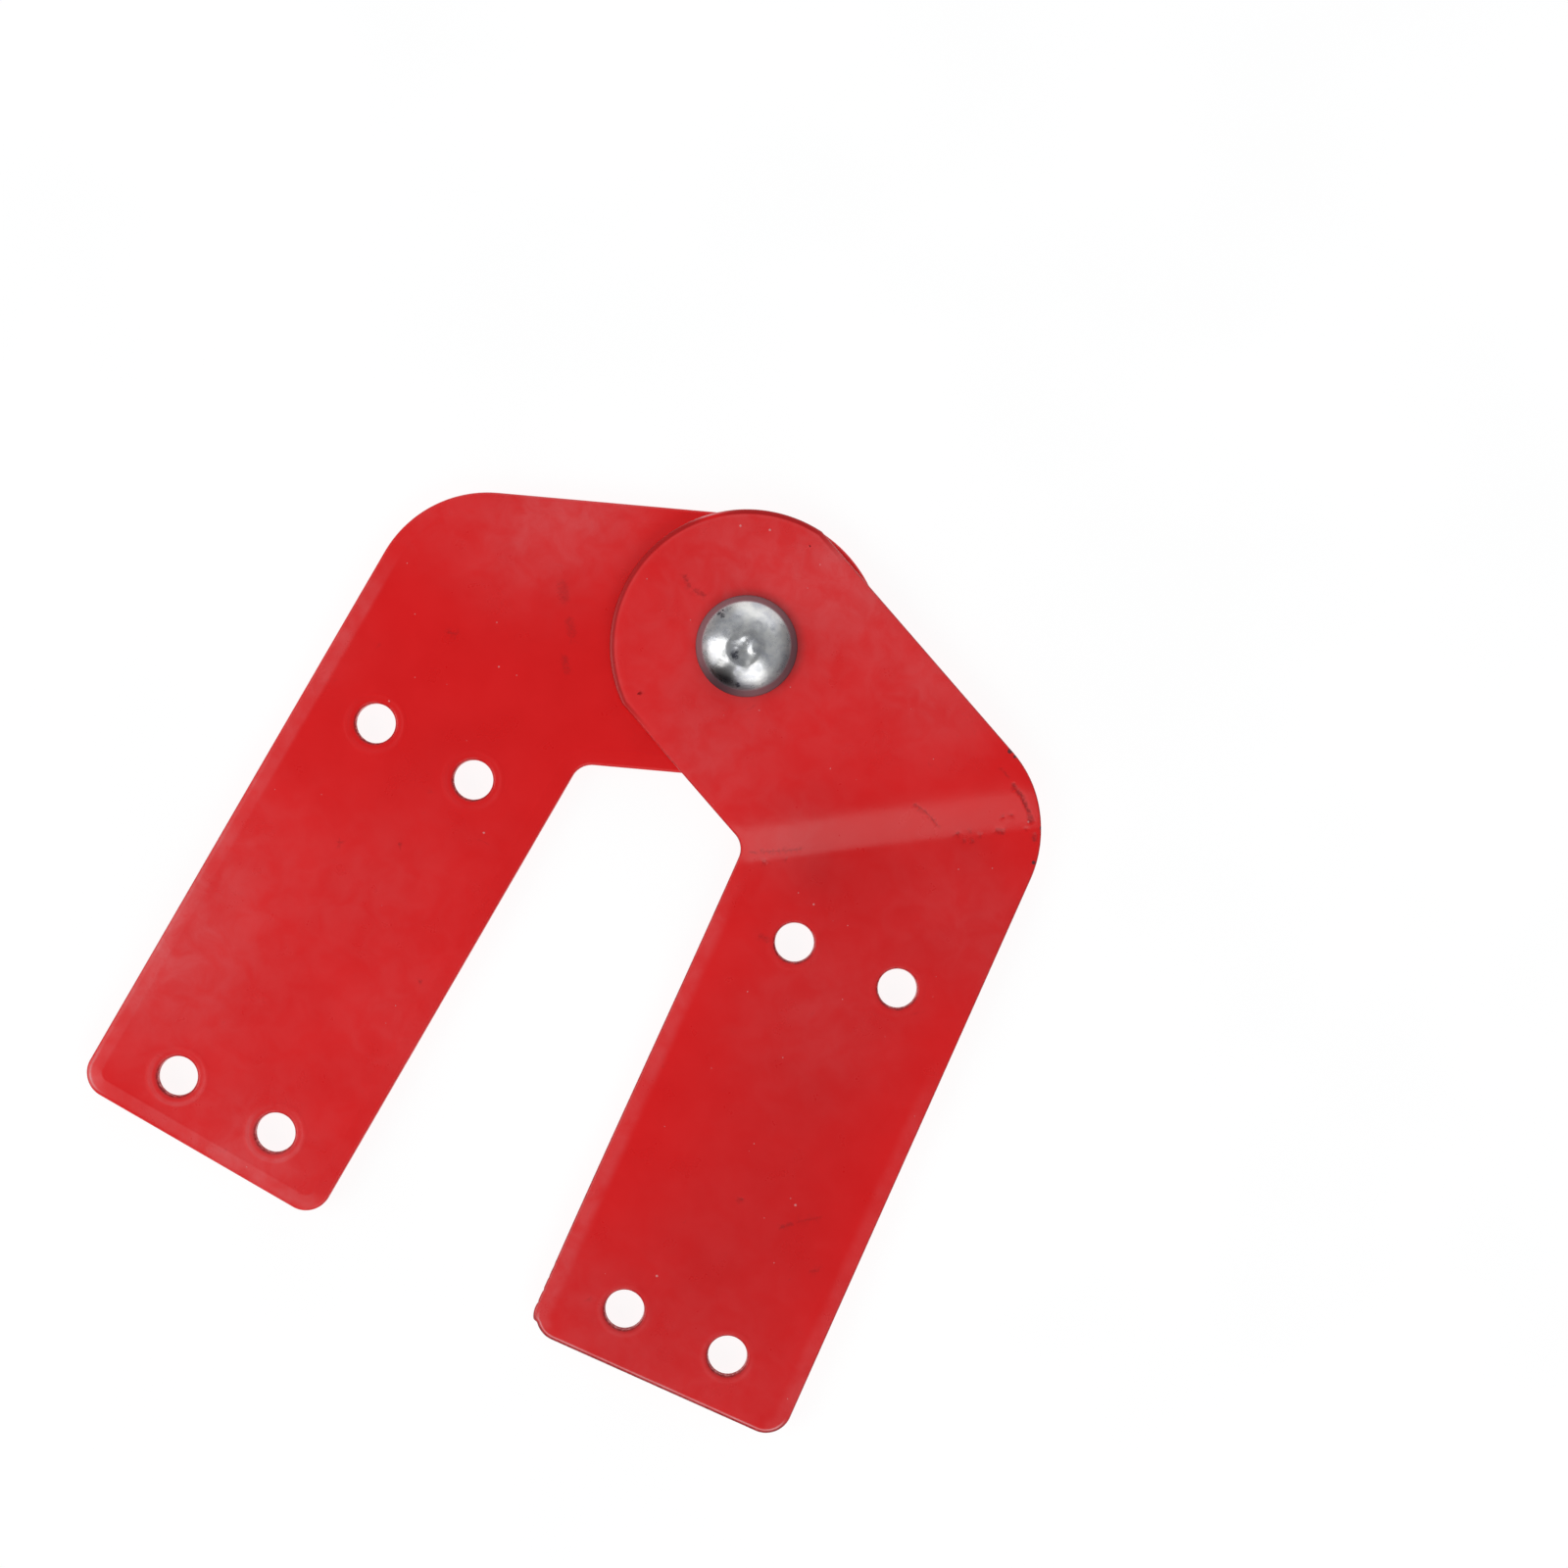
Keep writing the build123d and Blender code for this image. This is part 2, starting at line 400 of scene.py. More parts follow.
# Paint chipped off the edge down to the steel: x, y, radius
CHIPS = {
    "front": [(46.3, 24.0, 0.8), (47.6, 23.9, 0.5), (60.9, 19.2, 0.6), (64.7, 13.9, 0.5),
              (66.4, -107.9, 0.35), (64.3, -103.9, 0.30)],
    "back": [],
}


def press(points, side):
    """How deep the marks press in at each point of the top face, and how dirty it is there."""
    ragged = 0.25 * np.sin(9 * points[:, 0] + 2) * np.sin(8 * points[:, 1])
    depth, dirt = np.zeros(len(points)), np.zeros(len(points))
    for path, half_width, deepest, darkest in MARKS[side]:
        reach = np.clip(path_distance(points, path) / (MARK_REACH * half_width) + ragged, 0, 1)
        depth = np.maximum(depth, deepest * (1 - reach**2)**2)
        dirt = np.maximum(dirt, darkest * (1 - reach**2))
    return depth, dirt


def chipped(points, side):
    """How bare the steel is at each point: 1 in the middle of a chip, and 0 outside it."""
    total = np.zeros(len(points))
    for x, y, radius in CHIPS[side]:
        total = np.maximum(total, 1.6 - 1.6 * np.hypot(points[:, 0] - x, points[:, 1] - y) / radius)
    return np.clip(total, 0, 1)


# Broad changes in the enamel: x, y, spread, amount. Painted sheen is a pale painted reflection on it.
PAINTED_SHEEN_SPOTS = {
    "front": [(0, 0, 30, 0.66), (31, -17, 8, 0.40), (2, 26, 13, 1.05), (-14, 10, 9, 0.40),
              (10, -22, 9, 0.50), (30, 22, 12, 0.68), (56, -2, 12, 0.22), (60, -34, 18, 0.44),
              (78, -70, 18, 0.18), (95, -100, 18, 0.38), (104, -84, 14, 0.13), (72, -104, 13, 0.38),
              (70, 0, 13, 0.38)],
    "back": [(32, 24, 13, 1.05), (44, 15, 11, 0.6), (104, -62, 22, 1.2), (84, -106, 16, 0.95),
             (58, -76, 14, 0.44), (68, -50, 12, 0.22), (62, 22, 10, 0.40), (80, -6, 9, 0.27),
             (90, -42, 12, 0.28), (102, -64, 8, 0.22), (56, -48, 18, 0.24)],
}
# Darker patches of the enamel.
DARKER_PATCHES = {
    "front": [(32, -12, 12, 0.08), (54, -18, 18, 0.13), (66, -44, 20, 0.18), (84, -76, 22, 0.22),
              (92, -108, 14, 0.15), (39.5, -17.5, 6, 0.16), (48, -6, 7, 0.08), (54, 6, 6, 0.08),
              (109, -88, 10, 0.10), (72, -104, 14, 0.11), (70, 0, 14, 0.10)],
    "back": [(32, 0, 16, 0.05), (50, -30, 18, 0.06), (76, -90, 22, 0.04)],
}
# Painted glints on the edge: x, y, spread
CORNER_GLINT = (113.7, -89.4, 3.5)  # on the back leg's outer corner
TAB_GLINT = (-22.5, 10.9, 2.6)      # on the front tab's round end


# Sheared edges --------------------------------------------------------------------------------------------

# How far in from the wall each ring of an edge lies
EDGE_INSETS = [3.5, 3.2, 3.0, 2.8, 2.6, 2.25, 1.85, 1.5, 1.25, 1.05, 0.9, 0.78, 0.68, 0.58, 0.48, 0.37, 0.27,
               0.18, 0.11, 0.05, 0.015, 0]
HOLE_INSETS = [2.4, 2.0, 1.7, 1.4, 1.15, 0.95, 0.78, 0.62, 0.48, 0.36, 0.25, 0.16, 0.09, 0.04, 0.01, 0]
RIVET_HOLE_INSETS = HOLE_INSETS[6:]
UNDER_LIP = 0.3
HOLE_LIP = 0.45
RIVET_HOLE_LIP = 0.3
NICK_REACH = 1.2                    # how far in from the wall a nick shows
BARE_REACH = 0.25                   # how far in from the wall the paint is worn
EDGE_BARE = {"back": 0.0, "front": 0.60}
HOLE_TAPER = {"back": 0.07, "front": 0.13}  # the punch leaves the holes this much tighter underneath


def quarter(inset, radius):
    """Drop of a quarter-round lip at an inset from the wall."""
    inside_lip = np.maximum(radius - inset, 0)
    return radius - np.sqrt(np.maximum(radius**2 - inside_lip**2, 0))


def at_leg_end(points, side):
    """1 on the leg's end, and 0 along its sides."""
    return smooth(past_end(points, side), -5, -1)


def at_tab_end(points):
    """1 round the tab's end, and 0 on the leg's side of the rivet."""
    return smooth(-points[:, 0], -2, 10)


def on_tab_half(points):
    """The same, but the change is closer to the rivet."""
    return smooth(-points[:, 0], -6, 6)


def outline_drop(points, inset, side):
    """How far the top has dropped at an inset: a soft shoulder of some width and drop, then a tight lip."""
    leg_end = at_leg_end(points, side)
    if side == "back":
        width = 3.0
        drop = 0.30 + 0.25 * leg_end
        lip = 0.50
        bead = (0.015 + 0.030 * leg_end) * line(inset, width, 0.22)
    else:
        tab_half = on_tab_half(points)
        width = 1.8 + 0.4 * tab_half
        drop = 0.20 + 0.16 * tab_half - 0.14 * leg_end
        lip = 0.35 + 0.65 * leg_end
        bead = 0.0
    return drop * np.maximum(1 - inset / width, 0)**1.4 + quarter(inset, lip) - bead


def outline_dirt_and_shade(points, inset, side):
    """Grime on the sheared edge, the most of it on the front arm's, with painted shade on the walls and a
    painted dark strip at the front leg's end.
    """
    if side == "back":
        return np.full(len(points), 0.25 * fade(inset, 0.05, 0.40))
    elsewhere = 0.55 * (1 - 0.85 * at_tab_end(points)) * fade(inset, 0.05, 0.40)
    return np.maximum(0.9 * at_leg_end(points, side) * fade(inset, 0.32, 0.52), elsewhere)


def towards_end(points):
    """From -1 to 1: how much each point of a hole's outline lies towards the leg's end."""
    arms = points - points.mean(0)
    return arms @ ALONG_LEG / np.linalg.norm(arms, axis=1)


def hole_shade(points, inset, side):
    """Painted shade inside a hole, the most of it towards the leg's end."""
    return (0.45 + 0.50 * smooth(towards_end(points), -0.4, 0.8)) * fade(inset, 0.10, 0.45)


def near_inner_side(points, side):
    """1 on the leg's inner side and on the tab beyond it, and 0 on the leg's outer side."""
    return fade((points - inner_elbow(side)) @ ACROSS_LEG, 1.25, 4.25)


def near_outer_side(points, side):
    """1 on the leg's outer side, and 0 on its inner side and on the tab."""
    return smooth((points - inner_elbow(side)) @ ACROSS_LEG, LEG_WIDTH - 4.55, LEG_WIDTH - 1.55)


def back_outline_tones(points, inset):
    """Painted highlights on the rolled shoulder at the leg's end, at its outer corner, and along its outer
    side, and painted shade at the outer side's edge.
    """
    end = past_end(points, "back")
    outer = near_outer_side(points, "back")
    outer_end = outer * smooth(end, -80, -60)
    outer_elbow = outer * smooth(end, -115, -105) * (1 - 0.6 * smooth(end, -85, -55))
    rolled = 0.42 * fade(inset, 2.8, 3.2) * (1 - 0.8 * fade(inset, 0.3, 1.4))
    painted_highlight = rolled * at_leg_end(points, "back")
    painted_highlight += (0.9 * outer_end + 4.0 * spot(points, *CORNER_GLINT)) * line(inset, 0.70, 0.20)
    painted_highlight += 0.85 * outer_elbow * fade(inset, 2.4, 3.5)
    painted_shade = 0.35 * outer_end * fade(inset, 0.05, 0.30)
    return np.ones(len(points)), painted_highlight, painted_shade


def front_outline_tones(points, inset):
    """Painted highlight lines at the leg's end and the tab's, a painted glint, painted highlights along the
    leg's sides, and painted shade on the lips.
    """
    end = past_end(points, "front")
    leg_end = at_leg_end(points, "front")
    tab_end = at_tab_end(points)
    glint = spot(points, *TAB_GLINT)
    outer = near_outer_side(points, "front") * smooth(end, -80, -60)
    inner = near_inner_side(points, "front") * smooth(end, -95, -80)
    painted_highlight = 5.4 * leg_end * line(inset, 0.66, 0.12) + 6.0 * glint * fade(inset, 0.15, 0.45)
    painted_highlight += (0.45 * outer + 0.70 * inner) * fade(inset, 1.6, 3.5)
    painted_highlight += 0.35 * tab_end * line(inset, 1.15, 0.22)
    painted_shade = 0.45 * leg_end * fade(inset, 0.30, 0.52)
    painted_shade += 0.55 * tab_end * fade(inset, 0.75, 1.02) * (1 - glint)
    return 1 - 0.9 * tab_end * fade(inset, 0.80, 1.10), painted_highlight, painted_shade


def outline_tones(points, inset, side):
    """For each point: the share of the painted sheen left, the painted highlight added, and the painted
    shade added.
    """
    return back_outline_tones(points, inset) if side == "back" else front_outline_tones(points, inset)


def hole_tones(points, inset, side):
    """Painted highlight on a hole's bead, the most of it towards the leg's end, and painted shade inside the
    bead.
    """
    near_end = smooth(past_end(points.mean(0), side), -30, -15)
    facing = (0.2 + 0.8 * near_end) * smooth(towards_end(points), -0.9, 0.3)
    if side == "back":
        bead = 0.70 * fade(inset, 1.7, 2.0) * (1 - fade(inset, 0.8, 1.2))
    else:
        bead = 0.30 * fade(inset, 1.0, 1.4) * (1 - fade(inset, 0.5, 0.8))
    return np.ones(len(points)), bead * facing, 0.15 * facing * fade(inset, 0.4, 0.9)


def plain_tones(points, inset, side):
    """All of the painted sheen, and no painted highlight or shade."""
    return np.ones(len(points)), np.zeros(len(points)), np.zeros(len(points))


def hole_drop(points, inset, side):
    """The punch rolled the back arm's holes in, and the enamel has a low bead round every nail hole."""
    if side == "back":
        roll = 0.16 * np.maximum(1 - inset / 1.5, 0)**2
        bead = 0.09 * line(inset, 1.7, 0.35)
    else:
        roll = 0.0
        bead = 0.06 * line(inset, 1.0, 0.35)
    return np.full(len(points), quarter(inset, HOLE_LIP) + roll - bead)


def rivet_hole_drop(points, inset, side):
    """A plain lip round the rivet's hole, which the rivet's head covers."""
    return np.full(len(points), quarter(inset, RIVET_HOLE_LIP))


def no_dirt(points, inset, side):
    """A clean edge, for the rivet's hole."""
    return np.zeros(len(points))


# Arms -----------------------------------------------------------------------------------------------------

def grid(loops, side, step):
    """Staggered points over the sheet, in rows along the bend line, close together where the arm bends."""
    across = loops[0] @ ACROSS_BEND
    along = loops[0] @ ALONG_BEND
    rows, s = [], across.min()
    while s < across.max():
        start = along.min() + (len(rows) % 2) * step / 2
        t = np.arange(start, along.max(), step)
        rows.append(np.outer(t, ALONG_BEND) + s * ACROSS_BEND)
        bending = side == "front" and BEND_ZONE[0] < s < BEND_ZONE[1]
        s += BEND_STEP if bending else step * ROW_SPACING
    return np.concatenate(rows)


def patch(path, reach):
    """Closely spaced points round a mark."""
    path = np.array(path, float)
    (x0, y0), (x1, y1) = path.min(0) - reach, path.max(0) + reach
    x, y = np.meshgrid(np.arange(x0, x1, MARK_STEP), np.arange(y0, y1, MARK_STEP))
    x[::2] += MARK_STEP / 2
    points = np.stack([x.ravel(), y.ravel()], 1)
    return points[path_distance(points, path) < reach]


def face_points(loops, side, step, marks):
    """Points inside the outline and outside the holes, closer together at the marks."""
    points = grid(loops, side, step)
    for path, half_width, _, _ in marks:
        reach = MARK_CLEARING * half_width
        points = points[path_distance(points, path) > reach + MARK_STEP]
        points = np.concatenate([points, patch(path, reach)])
    keep = inside(points, loops[0])
    for loop in loops[1:]:
        keep &= ~inside(points, loop)
    points = points[keep]
    return points[distance_to(points, np.concatenate(loops)) > LOOP_CLEARANCE]


def fill_face(loops, side, step, marks=()):
    """Triangles that fill the sheet between the loops: their points, and their corners' numbers."""
    points, edges = [], []
    for loop in loops:
        base, count = len(points), len(loop)
        points += [Vector(p) for p in loop]
        edges += [(base + k, base + (k + 1) % count) for k in range(count)]
    points += [Vector(p) for p in face_points(loops, side, step, marks)]
    made = geometry.delaunay_2d_cdt(points, edges, [], FILL_INSIDE, FILL_TOLERANCE)
    points = np.array([tuple(v) for v in made[0]])
    faces = np.array([tuple(f) for f in made[2]])
    middles = points[faces].mean(1)
    keep = inside(middles, loops[0])
    for loop in loops[1:]:
        keep &= ~inside(middles, loop)
    return points, faces[keep].tolist()


def nail_holes(side):
    """Centre and radius of each nail hole, in the arm frame."""
    holes = []
    for mount in frame["record"]["mounts"]:
        if mount["kind"] == "bolt_pattern" and mount["name"].startswith(side):
            middle = to_arm(np.array(mount["pos_m"][:2]) / MM, side)
            reach = ACROSS_LEG * mount["dims"]["pcd_mm"] / 2
            radius = mount["dims"]["hole_r_mm"]
            holes += [(middle - reach, radius), (middle + reach, radius)]
    return holes


def link_mesh(name, bm):
    """An object from a finished bmesh, smooth shaded."""
    bmesh.ops.recalc_face_normals(bm, faces=bm.faces)
    for face in bm.faces:
        face.smooth = True
    mesh = bpy.data.meshes.new(name)
    bm.to_mesh(mesh)
    bm.free()
    piece = bpy.data.objects.new(name, mesh)
    bpy.context.scene.collection.objects.link(piece)
    return piece


def make_arm(name, side):
    """One arm as a closed mesh: top and under faces, with shaped edges round the outline and the holes."""
    bm = bmesh.new()
    layers = [bm.verts.layers.float.new(key) for key in ("bare", "dirt", "painted_sheen", "darker_and_shade")]

    def add(points, heights, bare, dirt, tones):
        """Vertices at these points and heights, each with its share of every change in the paint."""
        left, painted_highlight, painted_shade = tones
        bare = np.maximum(bare, chipped(points, side))
        # painted sheen: broad painted reflections, plus the painted highlight lines on the edges
        painted_sheen = left * blobs(points, PAINTED_SHEEN_SPOTS[side]) + painted_highlight
        # darker patches, plus painted shade on the lips, the edges and the holes
        values = np.stack([bare, dirt, painted_sheen, blobs(points, DARKER_PATCHES[side]) + painted_shade], 1)
        made = []
        for (x, y), z, shares in zip(to_row(points, side), heights, values):
            vert = bm.verts.new((x * MM, y * MM, z * MM))
            for layer, share in zip(layers, shares):
                vert[layer] = share
            made.append(vert)
        return made

    def edge_rings(points, insets, looks, bite=0.0, edge_bare=0.0, taper=0.0):
        """Rings from the flat of the top face, over the edge and down the wall, to the under face."""
        drop_at, dirt_and_shade_at, tones_at = looks
        normals, made = outward(points), []
        bite = bite + np.zeros(len(points))
        for inset in insets:
            ring = points - normals * (inset + bite * max(0.0, 1 - inset / NICK_REACH))[:, None]
            depth, dirt = press(ring, side)
            heights = top_height(ring, side) - drop_at(points, inset, side) - depth
            # the dirt layer also takes painted shade on the edges and in the holes
            dirt = np.maximum(dirt, dirt_and_shade_at(points, inset, side))
            bare = edge_bare * np.full(len(ring), max(0.0, 1 - inset / BARE_REACH))
            made.append(add(ring, heights, bare, dirt, tones_at(points, inset, side)))
        # the walls get painted shade along with the edge's grime
        wall_dirt_and_shade, wall_tones = dirt_and_shade_at(points, 0.0, side), plain_tones(points, 0.0, side)
        for turn in np.linspace(0, pi / 2, 5):
            ring = points - normals * (UNDER_LIP * (1 - cos(turn)) + bite - taper)[:, None]
            heights = under_height(ring, side) + UNDER_LIP * (1 - sin(turn))
            made.append(add(ring, heights, np.zeros(len(ring)), wall_dirt_and_shade, wall_tones))
        for above, below in zip(made[:-1], made[1:]):
            for k in range(len(above)):
                n = (k + 1) % len(above)
                bm.faces.new((above[k], above[n], below[n], below[k]))
        return points - normals * insets[0], points - normals * (UNDER_LIP + bite - taper)[:, None]

    outline = chevron(side)
    edge_bare = EDGE_BARE[side] * (1 - on_tab_half(outline))
    looks = (outline_drop, outline_dirt_and_shade, outline_tones)
    loops = [edge_rings(outline, EDGE_INSETS, looks, outline_bite(outline, side), edge_bare)]
    for centre, radius in nail_holes(side):
        looks = (hole_drop, hole_shade, hole_tones)
        loops.append(edge_rings(hole_outline(centre, radius), HOLE_INSETS, looks, taper=HOLE_TAPER[side]))
    clearance = RUNNING_CLEARANCE if side == "front" else 0.0
    pivot_hole = hole_outline((0, 0), SHANK_RADIUS + clearance)
    loops.append(edge_rings(pivot_hole, RIVET_HOLE_INSETS, (rivet_hole_drop, no_dirt, plain_tones)))

    def add_face(points, faces, heights, dirt):
        """The triangles of a whole face, at these heights."""
        made = add(points, heights, np.zeros(len(points)), dirt, plain_tones(points, 0.0, side))
        for face in faces:
            bm.faces.new([made[k] for k in face])

    points, faces = fill_face([top for top, _ in loops], side, TOP_STEP, MARKS[side])
    depth, dirt = press(points, side)
    add_face(points, faces, top_height(points, side) - depth, dirt)
    points, faces = fill_face([under for _, under in loops], side, UNDER_STEP)
    add_face(points, faces, under_height(points, side), np.zeros(len(points)))
    bmesh.ops.remove_doubles(bm, verts=bm.verts, dist=MERGE_DISTANCE)
    return link_mesh(name, bm)


# Rivet ----------------------------------------------------------------------------------------------------

def rivet_profile():
    """Radius and height of the rivet's skin, from the top of the head to the middle of the tail."""
    head_foot = (rivet_high.z - rivet_low.z) / MM - HEAD_HEIGHT
    crown_middle = head_foot + HEAD_HEIGHT - CROWN_RADIUS
    crown_half = np.arcsin(CROWN_REACH / CROWN_RADIUS)
    tail_flat = TAIL_RADIUS - TAIL_EDGE_RADIUS
    points = []
    for turn in np.linspace(0.004, crown_half, 64):
        points.append((CROWN_RADIUS * sin(turn), crown_middle + CROWN_RADIUS * cos(turn)))
    step = BROW_WIDTH / 8
    for lean in np.linspace(crown_half, SKIRT_LEAN, 8):
        points.append((points[-1][0] + step, points[-1][1] - step * tan(lean)))
    skirt_radius, skirt_drop = points[-1][0], points[-1][1] - head_foot
    for share in np.linspace(0, 1, 6)[1:]:
        radius = skirt_radius + share * skirt_drop / tan(SKIRT_LEAN)
        points.append((radius, head_foot + (1 - share) * skirt_drop))
    for radius in np.linspace(points[-1][0] - 0.05, SHANK_RADIUS, 5):
        points.append((radius, head_foot))
    for height in np.linspace(head_foot, BACK_UNDER, 6)[1:]:
        points.append((SHANK_RADIUS, height))
    points.append((TAIL_RADIUS - 0.1, BACK_UNDER))
    for turn in np.linspace(0, pi / 2, 8):
        points.append((tail_flat + TAIL_EDGE_RADIUS * cos(turn), TAIL_EDGE_RADIUS * (1 - sin(turn))))
    for radius in np.linspace(tail_flat, 0.15, 16)[1:]:
        points.append((radius, 0.0))
    return np.array(points), crown_middle


# Flats left by the hammer on the crown: x, y of the flat's middle and its depth
HAMMER_FLATS = [
    (1.6, 2.4, 0.030), (-2.0, 2.2, 0.035), (2.9, 0.2, 0.030), (-2.6, -1.4, 0.040), (1.4, -3.0, 0.040),
    (-0.9, -3.6, 0.035), (-3.9, 0.4, 0.035), (0.2, 4.2, 0.030), (4.1, 1.9, 0.025), (3.6, -2.6, 0.030),
    (-4.4, -2.4, 0.035), (0.9, -5.2, 0.030), (-3.6, 3.6, 0.030), (5.6, -0.6, 0.025), (3.2, 4.6, 0.025),
    (-5.8, 1.0, 0.025), (-2.8, -4.9, 0.030),
]
# Dents in the crown: x, y, radius, depth
DENTS = [
    (-0.15, -0.89, 3.3, 0.95), (-1.2, -1.9, 1.0, 0.12), (-0.6, 0.5, 0.8, 0.05), (1.3, -0.4, 0.8, -0.05),
    (2.2, 0.9, 1.5, 0.12), (-2.6, 1.0, 1.4, 0.10), (1.3, -3.6, 1.4, 0.10), (-2.3, -3.0, 1.5, 0.14),
    (0.2, 2.1, 1.2, 0.08),
]
# Dark spots on the rivet: x, y, radius
RIVET_SPOTS = [(-7.1, 3.0, 0.7), (-6.4, 2.85, 0.75), (-1.0, -2.5, 1.3), (1.9, -7.1, 0.7), (-6.8, 3.8, 0.4)]


def hammered(points):
    """Points of the crown, measured from the middle of its ball, with the flats and dents pressed in."""
    for x, y, depth in HAMMER_FLATS:
        normal = np.array([x, y, sqrt(CROWN_RADIUS**2 - x**2 - y**2)]) / CROWN_RADIUS
        points = points - np.maximum(0, points @ normal - CROWN_RADIUS + depth)[:, None] * normal
    for x, y, radius, depth in DENTS:
        points = points - np.outer(depth * bowl(points, x, y, radius), (0, 0, 1))
    return points


def head_tones(x, y):
    """Dirt, dullness with a painted red reflection, and painted dark reflection of a place on the head. Its
    skirt is dull with a painted red reflection, and has painted dark reflections on two sides.
    """
    radius, heading = np.hypot(x, y), atan2(y, x) - VIEW_TURN
    dirt = max(max(0, 1 - np.hypot(x - sx, y - sy) / size) for sx, sy, size in RIVET_SPOTS)
    # painted dark reflections on the head, on two sides
    one_side = max(0.0, cos(heading + radians(12)))**2
    other_side = max(0.0, cos(heading - radians(235)))**6
    painted_dark_reflection = 0.62 * one_side * smooth(radius, 5.6, 8.8) + 0.90 * other_side * smooth(radius, 4.8, 7.4)
    return dirt, smooth(radius, 7.85, 8.35), min(1.0, painted_dark_reflection)


def make_rivet(name):
    """The rivet as one closed mesh: its profile turned about its axis, with the head hammered."""
    profile, crown_middle = rivet_profile()
    turns = 2 * pi * np.arange(RIVET_SIDES) / RIVET_SIDES
    bm = bmesh.new()
    layers = [bm.verts.layers.float.new(key) for key in ("dirt", "dull_and_painted_reflection", "painted_dark_reflection")]
    rings = []
    for radius, height in profile:
        flat = radius * np.stack([np.cos(turns), np.sin(turns)], 1)
        points = np.column_stack([flat, np.full(RIVET_SIDES, height - crown_middle)])
        if height > FRONT_TOP + 0.5:
            points = hammered(points)
        ring = []
        for x, y, z in points:
            vert = bm.verts.new(((PIVOT.x + x) * MM, (PIVOT.y + y) * MM, (crown_middle + z) * MM))
            if height > FRONT_TOP:
                for layer, share in zip(layers, head_tones(x, y)):
                    vert[layer] = share
            ring.append(vert)
        rings.append(ring)
    for above, below in zip(rings[:-1], rings[1:]):
        for k in range(RIVET_SIDES):
            n = (k + 1) % RIVET_SIDES
            bm.faces.new((above[k], below[k], below[n], above[n]))
    bm.faces.new(rings[0])
    bm.faces.new(reversed(rings[-1]))
    return link_mesh(name, bm)


# Materials ------------------------------------------------------------------------------------------------

PAINT_RED = (0.865, 0.0042, 0.0052, 1)
PAINT_MOTTLE = (0.825, 0.0028, 0.0036, 1)
# dark red for the darker patches and for painted shade
DARK_RED_AND_SHADE = (0.20, 0.0010, 0.0020, 1)
# dark red for dirt and for painted shade
DIRT_AND_SHADE = (0.26, 0.007, 0.010, 1)
BARE_STEEL = (0.19, 0.040, 0.045, 1)
DUST = (0.80, 0.42, 0.42, 1)
# pale pink for the painted sheen and the painted highlights
PAINTED_SHEEN_PINK = (0.85, 0.50, 0.52, 1)
PALE_ZINC = (0.74, 0.74, 0.72, 1)
GREY_ZINC = (0.50, 0.51, 0.54, 1)
SCUFFED = (0.20, 0.21, 0.26, 1)
# mauve painted reflection of the red arms on the rivet's dull skirt
SKIRT_RED_REFLECTION = (0.30, 0.19, 0.21, 1)
# near black for the rivet's painted dark reflections
DARK_REFLECTION_BLACK = (0.05, 0.045, 0.055, 1)
RIVET_DIRT = (0.04, 0.04, 0.06, 1)
PAPER_PALE = (0.12, 0.12, 0.12, 1)
PAPER_DARK = (0.10, 0.10, 0.10, 1)
HEAD_SHADE_HEADING = radians(35)    # from the view's right
HEAD_SHADE_REACH = (8.9, 11.4)      # from the rivet's middle, millimetres


